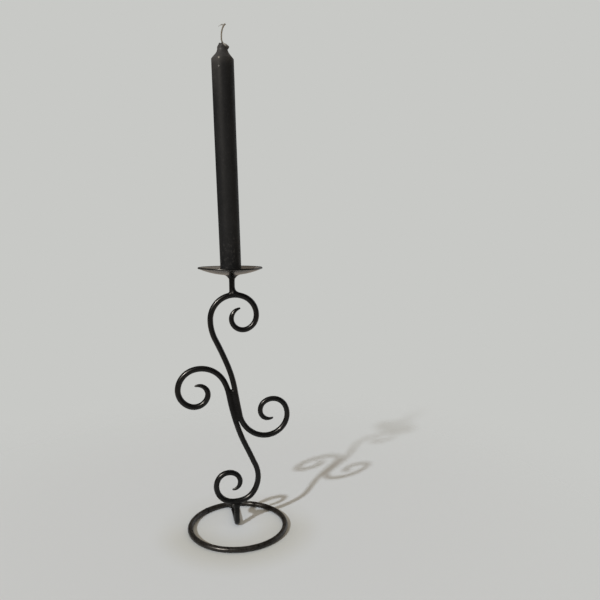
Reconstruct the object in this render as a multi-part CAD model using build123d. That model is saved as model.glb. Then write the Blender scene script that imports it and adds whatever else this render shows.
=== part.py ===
from build123d import *
import math
import os

# Wrought-iron scroll candle holder with a spiked drip pan, and its candle.
# Millimetres, +Z up. The origin is the centre of the base ring, on the
# surface that the holder stands on. The scrolls lie in the plane Y = PLANE_Y,
# and the foot bar runs to +Y, which is the back.

# ---------------------------------------------------------------- dimensions
# round bar, painted
RING_R = 54.8            # base ring, radius of the bar's centreline
RING_BAR = 3.175         # base ring, bar radius
RING_Z = 3.02            # centreline height: a flat of 1.9 mm is dressed under the ring
UP_R = 3.175             # upper scroll bar radius
LOW_R = 3.3              # lower scroll bar radius
LEG_R = 3.175            # leg bar radius
STEM_R = 3.175           # stem radius

PLANE_Y = 2.6            # the plane of both scrolls, the leg's post and the stem

# leg: a foot bar towards +Y and a post, bent from one bar
LEG_X = -0.6
LEG_YAW = 1.1            # degrees that the foot bar points to the left of +Y
LEG_BEND = 5.0           # centreline radius of the bend
LEG_Z = 3.475            # foot bar centreline height: it hangs 0.3 clear of the table
LEG_TOP = 31.0           # the post's top, before it is coped to the scroll

# scrolls: start point (X, Z), start heading in degrees from +X towards +Z,
# then tangent arcs (radius, swept angle); a negative radius turns clockwise
UPPER_START = (7.38, 257.39)
UPPER_HEADING = -171.51
UPPER_ARCS = [
    (11.9, 104.9), (12.6, 89.2), (16.5, 63.9), (21.9, 70.7), (26.6, 71.0),
    (27.3, 40.3), (48.8, 27.2), (-420.0, 4.3), (-138.0, 12.9), (600.0, 2.2),
    (-215.0, 1.5), (32.2, 50.0), (27.3, 32.3), (25.4, 59.4), (22.8, 54.4),
    (16.0, 98.7), (12.4, 68.1), (10.0, 107.3),
]
LOWER_START = (-44.94, 171.35)
LOWER_HEADING = 23.11
LOWER_ARCS = [
    (-10.4, 126.7), (-15.1, 100.6), (-19.8, 70.9), (-24.3, 66.6), (-28.2, 50.8),
    (-29.1, 30.9), (-56.0, 17.2), (279.0, 8.0), (179.0, 7.65), (-658.0, 1.8),
    (76.0, 2.88), (-38.5, 15.56), (-34.2, 46.77), (-19.9, 30.7), (-31.4, 31.1),
    (-19.4, 106.9), (-14.2, 95.4), (-11.1, 89.1), (-7.8, 68.9),
]
# the drawn-out tips: (distance from the tip, share of the bar's radius)
TAPER = [(0.0, 0.28), (1.5, 0.38), (4.0, 0.53), (7.5, 0.70), (12.0, 0.86), (17.0, 0.96), (22.0, 1.0)]

# the welded lap of the two scroll bars
LAP_Z = (128.8, 167.0)   # height range of the weld fill
LAP_DEPTH = (0.5, 2.85)  # from the middle plane outwards, front and back

# stem and drip pan
STEM_X = -1.4
STEM_BOTTOM = 271.0      # before it is coped to the upper scroll
PAN_X = -2.9
PAN_RIM_R = 34.8
PAN_RIM_Z = 301.0        # underside level at the rim
PAN_DEPTH = 7.3          # from there down to the underside's lowest point
PAN_T = 1.4              # sheet thickness

# pricket: a nail through the pan, its head under the pan
SPIKE_X = -2.2
SPIKE_R = 1.7
SPIKE_TIP_R = 0.35
SPIKE_UP = 22.0          # above the pan's inner floor
SPIKE_POINT = 8.0        # length of the point
HEAD_R = 3.6
HEAD_T = 1.2
PAN_HOLE_R = 1.75

# candle
CANDLE_FOOT_R = 11.27     # it widens a little towards the shoulder
CANDLE_R = 11.52
CANDLE_TOP = 526.0       # wax top, at the neck
SHOULDER_Z = 511.8
NECK_Z = 520.6
NECK_R = 5.4
LIP_R = 6.1
LEAN_X = -0.0195         # the candle stands a little askew on its spike
LEAN_Y = 0.003
BORE_CLEAR = 0.1
WICK_R = 0.8


# ------------------------------------------------------------------- helpers
def chain(start, heading, arcs):
    """Points and headings along a chain of tangent arcs: one entry per arc
    with its start, middle and end in (X, Z) and a function of length."""
    x, z = start
    h = math.radians(heading)
    out = []
    for r, a in arcs:
        s = 1.0 if r > 0 else -1.0
        rr = abs(r)
        cx, cz = x - s * rr * math.sin(h), z + s * rr * math.cos(h)
        ang = math.radians(a)

        def at(t, cx=cx, cz=cz, s=s, rr=rr, h=h):
            hh = h + s * t / rr
            return cx + s * rr * math.sin(hh), cz - s * rr * math.cos(hh), hh

        out.append({"at": at, "len": rr * ang, "c": (cx, cz), "r": rr})
        x, z, h = at(rr * ang)
    return out


def locate(ch, d):
    """(x, z, heading) at distance d from the start of the chain."""
    for seg in ch:
        if d <= seg["len"] + 1e-9:
            return seg["at"](d)
        d -= seg["len"]
    return ch[-1]["at"](ch[-1]["len"])


def p3(x, z):
    return Vector(x, PLANE_Y, z)


def section(ch, d, r):
    x, z, h = locate(ch, d)
    pl = Plane(origin=p3(x, z), x_dir=(0, 1, 0), z_dir=(math.cos(h), 0, math.sin(h)))
    return pl * Circle(r)


def scroll_bar(start, heading, arcs, r):
    ch = chain(start, heading, arcs)
    total = sum(s["len"] for s in ch)
    t_len = TAPER[-1][0]
    # the full-section stretch, arc by arc
    edges = []
    d0, d1 = t_len, total - t_len
    run = 0.0
    for seg in ch:
        a, b = max(d0, run), min(d1, run + seg["len"])
        if b - a > 1e-6:
            pa, pm, pb = (seg["at"](q - run) for q in (a, (a + b) / 2, b))
            edges.append(ThreePointArc(p3(pa[0], pa[1]), p3(pm[0], pm[1]), p3(pb[0], pb[1])))
        run += seg["len"]
    body = sweep(sections=section(ch, d0, r), path=Wire(edges))
    ends = []
    for flip in (False, True):
        secs = []
        for d, f in TAPER:
            secs.append(section(ch, total - d if flip else d, r * f))
        ends.append(loft(secs))
    out = body + ends[0] + ends[1]
    return out, total, ch


def one(shape):
    """The single solid of a shape."""
    s = shape.solids()
    s = sorted(s, key=lambda q: -q.volume)
    return s[0]


def cyl(x, y, z0, z1, r):
    return Pos(x, y, (z0 + z1) / 2) * Cylinder(r, z1 - z0)


# ------------------------------------------------------------------ base ring
# one bar rolled to a hoop, closed by a butt weld at the back left
BUTT_AZ = 128.0          # azimuth of the butt weld, degrees from +X
BUTT_HALF = 0.8          # half its width along the bar, degrees

hoop = Pos(0, 0, RING_Z) * Torus(RING_R, RING_BAR)
under = Pos(0, 0, -5) * Box(200, 200, 10)


def wedge(half, r0, r1, h):
    a0, a1 = math.radians(BUTT_AZ - half), math.radians(BUTT_AZ + half)
    pts = [(r0 * math.cos(a0), r0 * math.sin(a0)), (r1 * math.cos(a0), r1 * math.sin(a0)),
           (r1 * math.cos(a1), r1 * math.sin(a1)), (r0 * math.cos(a1), r0 * math.sin(a1))]
    return Pos(0, 0, -1) * extrude(make_face(Polyline(*pts, close=True)), h)


gap = wedge(BUTT_HALF, 45, 65, 12)
base_ring = one(hoop - under - gap)
fat_hoop = Pos(0, 0, RING_Z) * Torus(RING_R, RING_BAR + 0.25)
ring_butt_weld = one((fat_hoop & gap) - (Pos(0, 0, -4.97) * Box(200, 200, 10)))

# -------------------------------------------------------------------- scrolls
upper_scroll, upper_len, upper_ch = scroll_bar(UPPER_START, UPPER_HEADING, UPPER_ARCS, UP_R)
lower_scroll, lower_len, lower_ch = scroll_bar(LOWER_START, LOWER_HEADING, LOWER_ARCS, LOW_R)
upper_scroll = one(upper_scroll)
# where the two bars are welded side by side, the lower one has a narrow flat
lower_round = one(lower_scroll)
lower_scroll = one(lower_round - upper_scroll)

# ------------------------------------------------------------------------ leg
foot_end = math.sqrt((RING_R - RING_BAR + 0.9) ** 2 - LEG_X ** 2)
leg_path = Wire([
    Line((LEG_X, foot_end, LEG_Z), (LEG_X, PLANE_Y + LEG_BEND, LEG_Z)),
    ThreePointArc(
        (LEG_X, PLANE_Y + LEG_BEND, LEG_Z),
        (LEG_X, PLANE_Y + LEG_BEND * (1 - math.sin(math.pi / 4)), LEG_Z + LEG_BEND * (1 - math.cos(math.pi / 4))),
        (LEG_X, PLANE_Y, LEG_Z + LEG_BEND)),
    Line((LEG_X, PLANE_Y, LEG_Z + LEG_BEND), (LEG_X, PLANE_Y, LEG_TOP)),
])
leg_sec = Plane(origin=(LEG_X, foot_end, LEG_Z), x_dir=(1, 0, 0), z_dir=(0, -1, 0)) * Circle(LEG_R)
leg = sweep(sections=leg_sec, path=leg_path)
leg = Pos(LEG_X, PLANE_Y, 0) * Rot(0, 0, LEG_YAW) * Pos(-LEG_X, -PLANE_Y, 0) * leg
# the foot bar butts on the ring's inner side, the post is coped to the scroll
leg = one(leg - (Pos(0, 0, RING_Z) * Torus(RING_R, RING_BAR)) - lower_scroll)

# --------------------------------------------------------------- weld beads
# leg to ring: a bead round the butt joint, above the bar
foot_x = LEG_X - (50.3 - PLANE_Y) * math.tan(math.radians(LEG_YAW))
bead = Pos(foot_x, 50.3, 3.5) * Sphere(4.5)
weld_leg_ring = one(bead - base_ring - leg - (Pos(0, 0, -4.75) * Box(200, 200, 10))
                    - (Pos(foot_x, 44.2, 0) * Box(40, 6, 40)))

# the welds stay about as wide as the bars, front to back
WELD_HALF = 4.0


def bar_wide(z):
    return Pos(0, PLANE_Y, z) * Box(40, 2 * WELD_HALF, 40)


# post to lower scroll: a fillet flaring out under the scroll
scroll_low = min(seg["at"](seg["len"] * i / 8)[1] for seg in lower_ch for i in range(9))
flare_z1 = scroll_low - 0.2
with BuildPart() as fl:
    with BuildSketch(Plane.XZ) as sk:
        with BuildLine():
            a = (0.5, flare_z1 - 9.4)
            b = (LEG_R + 0.02, flare_z1 - 9.4)
            c = (7.4, flare_z1)
            l0 = Line(a, b)
            l1 = ThreePointArc(b, (LEG_R + 1.15, flare_z1 - 3.5), c)
            l2 = Line(c, (0.5, flare_z1))
            l3 = Line((0.5, flare_z1), a)
        make_face()
    revolve(axis=Axis.Z)
flare = Pos(LEG_X, PLANE_Y, 0) * fl.part
weld_leg_scroll = one((flare - lower_scroll - leg - cyl(LEG_X, PLANE_Y, 0, 60, LEG_R)) & bar_wide(flare_z1 - 4))

# lap of the two scrolls: one bead along the front groove, one along the back
lap_mid = []
for z in (LAP_Z[0], (LAP_Z[0] + LAP_Z[1]) / 2, LAP_Z[1]):
    def x_at(ch, z):
        best = None
        for seg in ch:
            n = 60
            for i in range(n + 1):
                q = seg["at"](seg["len"] * i / n)
                if abs(math.sin(q[2])) > 0.75 and abs(q[0]) < 14:
                    e = abs(q[1] - z)
                    if best is None or e < best[0]:
                        best = (e, q[0])
        return best[1]
    lap_mid.append(((x_at(upper_ch, z) + x_at(lower_ch, z)) / 2, z))


def lap_weld(side):
    y0, y1 = (PLANE_Y + side * LAP_DEPTH[0], PLANE_Y + side * LAP_DEPTH[1])
    (xa, za), (xb, zb), (xc, zc) = lap_mid
    w = 3.3
    with BuildPart() as bp:
        with BuildSketch(Plane(origin=(0, min(y0, y1), 0), x_dir=(1, 0, 0), z_dir=(0, -1, 0))):
            with BuildLine():
                Line((xa - w, za), (xa + w, za))
                ThreePointArc((xa + w, za), (xb + w, zb), (xc + w, zc))
                Line((xc + w, zc), (xc - w, zc))
                ThreePointArc((xc - w, zc), (xb - w, zb), (xa - w, za))
            make_face()
        extrude(amount=-abs(y1 - y0))
    return one(bp.part - upper_scroll - lower_round)


weld_lap_front = lap_weld(-1)
weld_lap_back = lap_weld(+1)

# ------------------------------------------------------------------ drip pan
# a shallow spherical dish of sheet, its edge rounded
pan_out_r = (PAN_RIM_R ** 2 + PAN_DEPTH ** 2) / (2 * PAN_DEPTH)
pan_low = PAN_RIM_Z - PAN_DEPTH
pan_floor = pan_low + PAN_T
ball_z = pan_low + pan_out_r
ball_out = Pos(PAN_X, PLANE_Y, ball_z) * Sphere(pan_out_r)
ball_in = Pos(PAN_X, PLANE_Y, ball_z) * Sphere(pan_out_r - PAN_T)
core = cyl(PAN_X, PLANE_Y, pan_low - 1, PAN_RIM_Z + 3, PAN_RIM_R)
pan = one((ball_out - ball_in) & core)
rim_edges = [e for e in pan.edges() if abs(e.bounding_box().size.X - 2 * PAN_RIM_R) < 0.05]
pan = fillet(rim_edges, 0.55)
drip_pan = one(pan - cyl(SPIKE_X, PLANE_Y, pan_low - 2, pan_floor + 2, PAN_HOLE_R))

# -------------------------------------------------------------------- pricket
head_top = pan_low - 0.0
head = cyl(SPIKE_X, PLANE_Y, head_top - HEAD_T, head_top, HEAD_R)
tip_z = pan_floor + SPIKE_UP
shank = cyl(SPIKE_X, PLANE_Y, head_top - 0.2, tip_z - SPIKE_POINT, SPIKE_R)
point = Pos(SPIKE_X, PLANE_Y, tip_z - SPIKE_POINT / 2) * Cone(SPIKE_R, SPIKE_TIP_R, SPIKE_POINT)
candle_spike = one(head + shank + point)

# ----------------------------------------------------------------------- stem
stem_top = head_top - HEAD_T
stem = one(cyl(STEM_X, PLANE_Y, STEM_BOTTOM, stem_top, STEM_R) - upper_scroll)

# stem to crown of the upper scroll: a fillet flaring out onto the bar
crown = max(seg["at"](seg["len"] * i / 8)[1] for seg in upper_ch for i in range(9))
z_c = crown + UP_R
with BuildPart() as fs:
    with BuildSketch(Plane.XZ):
        with BuildLine():
            Line((0.5, z_c - 3.2), (6.6, z_c - 3.2))
            Line((6.6, z_c - 3.2), (6.6, z_c - 0.9))
            ThreePointArc((6.6, z_c - 0.9), (STEM_R + 1.15, z_c + 1.0), (STEM_R + 0.02, z_c + 4.2))
            Line((STEM_R + 0.02, z_c + 4.2), (0.5, z_c + 4.2))
            Line((0.5, z_c + 4.2), (0.5, z_c - 3.2))
        make_face()
    revolve(axis=Axis.Z)
collar = Pos(STEM_X, PLANE_Y, 0) * fs.part
# the weld lies on top of the bar and down its two sides, no further
inside_curl = Pos(upper_ch[4]["c"][0], PLANE_Y, upper_ch[4]["c"][1]) * Rot(90, 0, 0) * Cylinder(25.5, 30)
weld_stem_scroll = one((collar - upper_scroll - stem - cyl(STEM_X, PLANE_Y, 260, 300, STEM_R) - inside_curl) & bar_wide(z_c))

# stem to pan: a fillet flaring out under the pan, round the nail's head
with BuildPart() as fp:
    with BuildSketch(Plane.XZ):
        with BuildLine():
            Line((0.5, pan_low - 4.6), (STEM_R + 0.02, pan_low - 4.6))
            ThreePointArc((STEM_R + 0.02, pan_low - 4.6), (4.85, pan_low - 2.0), (7.4, pan_low - 0.35))
            Line((7.4, pan_low - 0.35), (7.4, pan_low + 1.5))
            Line((7.4, pan_low + 1.5), (0.5, pan_low + 1.5))
            Line((0.5, pan_low + 1.5), (0.5, pan_low - 4.6))
        make_face()
    revolve(axis=Axis.Z)
funnel = Pos(STEM_X, PLANE_Y, 0) * fp.part
weld_stem_pan = one(funnel - ball_out - candle_spike - cyl(STEM_X, PLANE_Y, 260, stem_top, STEM_R)
                    - cyl(SPIKE_X, PLANE_Y, pan_low - 2, pan_floor + 2, PAN_HOLE_R))

# --------------------------------------------------------------------- candle
# its foot stands on the dish where the foot's edge meets the curved floor
foot_rise = (pan_out_r - PAN_T) - math.sqrt((pan_out_r - PAN_T) ** 2 - (CANDLE_FOOT_R + abs(SPIKE_X - PAN_X)) ** 2)
candle_z0 = pan_floor + foot_rise + 0.12
with BuildPart() as cw:
    with BuildSketch(Plane.XZ):
        with BuildLine():
            pts = [(0, candle_z0 - 3), (CANDLE_FOOT_R, candle_z0 - 3), (CANDLE_R, SHOULDER_Z)]
            Polyline(*pts)
            ThreePointArc((CANDLE_R, SHOULDER_Z), (8.1, SHOULDER_Z + 4.0), (NECK_R, NECK_Z))
            Polyline((NECK_R, NECK_Z), (NECK_R, NECK_Z + 1.6), (LIP_R, NECK_Z + 3.2), (LIP_R - 0.8, CANDLE_TOP), (0, CANDLE_TOP), (0, candle_z0 - 3))
        make_face()
    revolve(axis=Axis.Z)
tilt_x = math.degrees(-LEAN_Y)
tilt_y = math.degrees(LEAN_X)
wax = Pos(SPIKE_X, PLANE_Y, candle_z0) * Rot(tilt_x, tilt_y, 0) * Pos(0, 0, -candle_z0) * cw.part
# the foot is cut level with the pan
wax = wax - Pos(SPIKE_X, PLANE_Y, candle_z0 - 10) * Box(60, 60, 20)
# the bore that the spike makes
bore = cyl(SPIKE_X, PLANE_Y, candle_z0 - 1, tip_z - SPIKE_POINT, SPIKE_R + BORE_CLEAR) + (
    Pos(SPIKE_X, PLANE_Y, tip_z - SPIKE_POINT / 2 + 0.5) * Cone(SPIKE_R + BORE_CLEAR, SPIKE_TIP_R + BORE_CLEAR + 0.35, SPIKE_POINT + 1.0))

# ----------------------------------------------------------------------- wick
# straight inside the wax, then a free end that bends over to +X
w_bot = tip_z + 1.0


def axis_at(z):
    return SPIKE_X + LEAN_X * (z - candle_z0), PLANE_Y + LEAN_Y * (z - candle_z0)


ax0, ay0 = axis_at(w_bot)
ax1, ay1 = axis_at(CANDLE_TOP)
wick_dir = Vector(ax1 - ax0, ay1 - ay0, CANDLE_TOP - w_bot).normalized()
inner = Solid.make_cylinder(WICK_R, (CANDLE_TOP - w_bot) / wick_dir.Z, Plane(origin=(ax0, ay0, w_bot), z_dir=wick_dir))
# free end: arcs in a vertical plane through the wick's root
FREE_START = 100.0
FREE_ARCS = [(-50.0, 5.0), (-24.4, 20.1), (-14.3, 33.4)]
wx, wz, wh = ax1, CANDLE_TOP, math.radians(FREE_START)
wedges = []
free_pts = []
for r, a in FREE_ARCS:
    s = 1.0 if r > 0 else -1.0
    rr = abs(r)
    cx, cz = wx - s * rr * math.sin(wh), wz + s * rr * math.cos(wh)

    def at(t):
        hh = wh + s * t
        return cx + s * rr * math.sin(hh), cz - s * rr * math.cos(hh), hh
    m = at(math.radians(a) / 2)
    e = at(math.radians(a))
    wedges.append(ThreePointArc((wx, ay1, wz), (m[0], ay1, m[1]), (e[0], ay1, e[1])))
    free_pts.append((e[0], e[1]))
    wx, wz, wh = e
free_sec = Plane(origin=(ax1, ay1, CANDLE_TOP), x_dir=(0, 1, 0),
                 z_dir=(math.cos(math.radians(FREE_START)), 0, math.sin(math.radians(FREE_START)))) * Circle(WICK_R)
free = sweep(sections=free_sec, path=Wire(wedges))
knuckle = Pos(ax1, ay1, CANDLE_TOP) * Sphere(WICK_R)
wick = one(inner + knuckle + free)
candle = one(wax - bore - wick)

# ---------------------------------------------------------------------- write
os.makedirs("parts", exist_ok=True)
nodes = {
    "base_ring": base_ring,
    "ring_butt_weld": ring_butt_weld,
    "leg": leg,
    "weld_leg_ring": weld_leg_ring,
    "weld_leg_scroll": weld_leg_scroll,
    "lower_scroll": lower_scroll,
    "upper_scroll": upper_scroll,
    "weld_lap_front": weld_lap_front,
    "weld_lap_back": weld_lap_back,
    "stem": stem,
    "weld_stem_scroll": weld_stem_scroll,
    "weld_stem_pan": weld_stem_pan,
    "drip_pan": drip_pan,
    "candle_spike": candle_spike,
    "candle": candle,
    "wick": wick,
}
for name, shape in nodes.items():
    export_step(shape, "parts/" + name + ".step")

print("upper bar length", round(upper_len, 1), "volume/section*length",
      round(upper_scroll.volume / (math.pi * UP_R ** 2 * upper_len), 3))
print("lower bar length", round(lower_len, 1), "volume/section*length",
      round(lower_scroll.volume / (math.pi * LOW_R ** 2 * lower_len), 3))
print("scroll low", round(scroll_low, 2), "crown", round(crown, 2), "lap", [(round(a, 2), round(b, 1)) for a, b in lap_mid])
print("pan low", round(pan_low, 2), "floor", round(pan_floor, 2), "candle foot", round(candle_z0, 3), "spike tip", round(tip_z, 2))
print("wick tip", [round(v, 2) for v in (wx, ay1, wz)], "free length", round(sum(abs(r) * math.radians(a) for r, a in FREE_ARCS), 1))
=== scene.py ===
import bpy
import math
import numpy as np
from mathutils import Matrix, Vector


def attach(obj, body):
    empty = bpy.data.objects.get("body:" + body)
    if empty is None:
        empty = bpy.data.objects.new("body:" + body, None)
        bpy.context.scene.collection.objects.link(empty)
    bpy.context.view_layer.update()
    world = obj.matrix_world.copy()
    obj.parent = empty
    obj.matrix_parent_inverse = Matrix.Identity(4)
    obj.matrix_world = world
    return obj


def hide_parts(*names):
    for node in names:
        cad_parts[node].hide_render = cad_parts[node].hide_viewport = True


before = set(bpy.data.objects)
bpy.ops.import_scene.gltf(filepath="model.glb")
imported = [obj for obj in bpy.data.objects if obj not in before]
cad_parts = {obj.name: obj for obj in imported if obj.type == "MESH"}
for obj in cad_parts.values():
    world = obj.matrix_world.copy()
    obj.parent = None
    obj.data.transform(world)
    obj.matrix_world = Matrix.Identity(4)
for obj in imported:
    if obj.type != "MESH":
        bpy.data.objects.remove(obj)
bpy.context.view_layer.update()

# Looks of the candle holder. Shapes are worked out in millimetres, in the
# frame's axes, and become metres when their mesh is made.

# --------------------------------------------------------------- dimensions
RING_R, RING_BAR, RING_Z = 54.8, 3.175, 3.02
UP_R, LOW_R, LEG_R, STEM_R = 3.175, 3.3, 3.175, 3.175
PLANE_Y = 2.6
LEG_X, LEG_YAW, LEG_BEND, LEG_Z, LEG_TOP = -0.6, math.radians(1.1), 5.0, 3.475, 31.0
UPPER = ((7.38, 257.39), -171.51, [
    (11.9, 104.9), (12.6, 89.2), (16.5, 63.9), (21.9, 70.7), (26.6, 71.0),
    (27.3, 40.3), (48.8, 27.2), (-420.0, 4.3), (-138.0, 12.9), (600.0, 2.2),
    (-215.0, 1.5), (32.2, 50.0), (27.3, 32.3), (25.4, 59.4), (22.8, 54.4),
    (16.0, 98.7), (12.4, 68.1), (10.0, 107.3)])
LOWER = ((-44.94, 171.35), 23.11, [
    (-10.4, 126.7), (-15.1, 100.6), (-19.8, 70.9), (-24.3, 66.6), (-28.2, 50.8),
    (-29.1, 30.9), (-56.0, 17.2), (279.0, 8.0), (179.0, 7.65), (-658.0, 1.8),
    (76.0, 2.88), (-38.5, 15.56), (-34.2, 46.77), (-19.9, 30.7), (-31.4, 31.1),
    (-19.4, 106.9), (-14.2, 95.4), (-11.1, 89.1), (-7.8, 68.9)])
LAP_Z = (128.8, 167.0)
STEM_X = -1.4
PAN_X, PAN_RIM_R, PAN_RIM_Z, PAN_DEPTH, PAN_T = -2.9, 34.8, 301.0, 7.3, 1.4
SPIKE_X, SPIKE_R, SPIKE_UP, SPIKE_POINT = -2.2, 1.7, 22.0, 8.0
CANDLE_Z0, LEAN_X, LEAN_Y = 296.065, -0.0195, 0.003
BUTT_AZ = 128.0

PAN_BALL = (PAN_RIM_R ** 2 + PAN_DEPTH ** 2) / (2 * PAN_DEPTH)
PAN_LOW = PAN_RIM_Z - PAN_DEPTH
BALL_Z = PAN_LOW + PAN_BALL

# axes as the photograph's camera sees them: q to the right, w towards it
QX, QY = 0.97992, -0.19937
WX, WY = -0.19937, -0.97992


def axis_xy(z):
    bow = -0.16 * np.exp(-((z - 428.0) / 52.0) ** 2)
    return SPIKE_X + LEAN_X * (z - CANDLE_Z0) + bow, PLANE_Y + LEAN_Y * (z - CANDLE_Z0)


# -------------------------------------------------------------------- noise
def _lattice(ix, iy, iz, seed):
    h = (ix * 73856093) ^ (iy * 19349663) ^ (iz * 83492791) ^ (seed * 2654435761)
    h = h & 0xFFFFFFFF
    h = ((h ^ (h >> 15)) * 2246822519) & 0xFFFFFFFF
    h = ((h ^ (h >> 13)) * 3266489917) & 0xFFFFFFFF
    h = h ^ (h >> 16)
    return (h & 0xFFFFFF) / float(0xFFFFFF) * 2.0 - 1.0


def noise(p, size, seed=0):
    """Smooth noise from -1 to 1 at the points p (n, 3); size in mm."""
    q = np.asarray(p, float) / size + 1000.0
    i = np.floor(q).astype(np.int64)
    f = q - i
    u = f * f * f * (f * (f * 6 - 15) + 10)
    out = np.zeros(len(q))
    for dx in (0, 1):
        wx = u[:, 0] if dx else 1 - u[:, 0]
        for dy in (0, 1):
            wy = u[:, 1] if dy else 1 - u[:, 1]
            for dz in (0, 1):
                wz = u[:, 2] if dz else 1 - u[:, 2]
                out += wx * wy * wz * _lattice(i[:, 0] + dx, i[:, 1] + dy, i[:, 2] + dz, seed)
    return out


def smooth(a, b, x):
    t = np.clip((x - a) / (b - a), 0, 1)
    return t * t * (3 - 2 * t)


def forged(p):
    """How far the bars' surface lies below its nominal radius, in mm: slow
    waves of rolling and hammering. Never negative."""
    return 0.032 * (1 + noise(p, 9.0, 3)) + 0.014 * (1 + noise(p, 3.1, 5))


# -------------------------------------------------------------- curve tools
def chain(start, heading, arcs):
    x, z = start
    h = math.radians(heading)
    out, run = [], 0.0
    for r, a in arcs:
        s = 1.0 if r > 0 else -1.0
        rr, ang = abs(r), math.radians(a)
        cx, cz = x - s * rr * math.sin(h), z + s * rr * math.cos(h)
        out.append(dict(c=(cx, cz), r=rr, s=s, h=h, ang=ang, d0=run, len=rr * ang))
        h2 = h + s * ang
        x, z = cx + s * rr * math.sin(h2), cz - s * rr * math.cos(h2)
        h = h2
        run += rr * ang
    return out, run


def along(ch, d):
    """Points (x, z) and headings at the distances d."""
    d = np.asarray(d, float)
    x, z, hh = np.zeros_like(d), np.zeros_like(d), np.zeros_like(d)
    for k, g in enumerate(ch):
        last = k == len(ch) - 1
        m = (d >= g["d0"] - 1e-9) & ((d < g["d0"] + g["len"]) | last)
        h = g["h"] + g["s"] * (d[m] - g["d0"]) / g["r"]
        x[m] = g["c"][0] + g["s"] * g["r"] * np.sin(h)
        z[m] = g["c"][1] - g["s"] * g["r"] * np.cos(h)
        hh[m] = h
    return x, z, hh


def plane_dist(ch, x, z, keep=None):
    """Distance in the scrolls' plane from (x, z) to the bar's centreline."""
    best = np.full(len(x), 1e9)
    for g in ch:
        if keep is not None and not keep(g):
            continue
        dx, dz = x - g["c"][0], z - g["c"][1]
        rho = np.hypot(dx, dz)
        # heading at the nearest point of the circle
        h = np.arctan2(g["s"] * dx, -g["s"] * dz)
        t = (g["s"] * (h - g["h"])) % (2 * math.pi)
        inside = t <= g["ang"]
        d = np.where(inside, np.abs(rho - g["r"]), 1e9)
        for q in (0.0, g["ang"]):
            h2 = g["h"] + g["s"] * q
            ex = g["c"][0] + g["s"] * g["r"] * math.sin(h2)
            ez = g["c"][1] - g["s"] * g["r"] * math.cos(h2)
            d = np.minimum(d, np.hypot(x - ex, z - ez))
        best = np.minimum(best, d)
    return best


UP_CH, UP_LEN = chain(*UPPER)
LOW_CH, LOW_LEN = chain(*LOWER)


# --------------------------------------------------------------- mesh tools
def make(name, verts, faces, smooth_shade=True):
    me = bpy.data.meshes.new(name)
    me.from_pydata((np.asarray(verts) * 0.001).tolist(), [], [tuple(map(int, f)) for f in faces])
    me.validate()
    me.update()
    if smooth_shade:
        me.polygons.foreach_set("use_smooth", [True] * len(me.polygons))
    ob = bpy.data.objects.new(name, me)
    bpy.context.scene.collection.objects.link(ob)
    return ob


def join_parts(parts):
    vs, fs, n = [], [], 0
    for v, f in parts:
        vs.append(np.asarray(v))
        fs += [tuple(int(i) + n for i in q) for q in f]
        n += len(v)
    return np.vstack(vs), fs


def tube(P, A, B, R, nseg, closed=False, pole0=False, pole1=False, shape=None):
    """A tube through the points P with the frame vectors A and B and radii R.
    Open ends are closed by a fan to their end points, which makes a pole where the radius there is zero; pole0 and
    pole1 are not used."""
    n = len(P)
    th = np.arange(nseg) / nseg * 2 * math.pi
    c, s = np.cos(th), np.sin(th)
    rr = R[:, None] * np.ones(nseg)[None, :]
    if shape is not None:
        rr = rr * shape(th)
    V = P[:, None, :] + rr[:, :, None] * (c[None, :, None] * A[:, None, :] + s[None, :, None] * B[:, None, :])
    verts = V.reshape(-1, 3)
    faces = []
    idx = np.arange(n * nseg).reshape(n, nseg)
    rows = n if closed else n - 1
    a = idx[:rows]
    b = idx[(np.arange(rows) + 1) % n]
    a2, b2 = np.roll(a, -1, 1), np.roll(b, -1, 1)
    faces = np.stack([a, a2, b2, b], -1).reshape(-1, 4).tolist()
    if not closed:
        verts = np.vstack([verts, P[:1], P[-1:]])
        k = n * nseg
        for j in range(nseg):
            faces.append((k, int(idx[0, (j + 1) % nseg]), int(idx[0, j])))
            faces.append((k + 1, int(idx[-1, j]), int(idx[-1, (j + 1) % nseg])))
    return verts, faces


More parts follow.
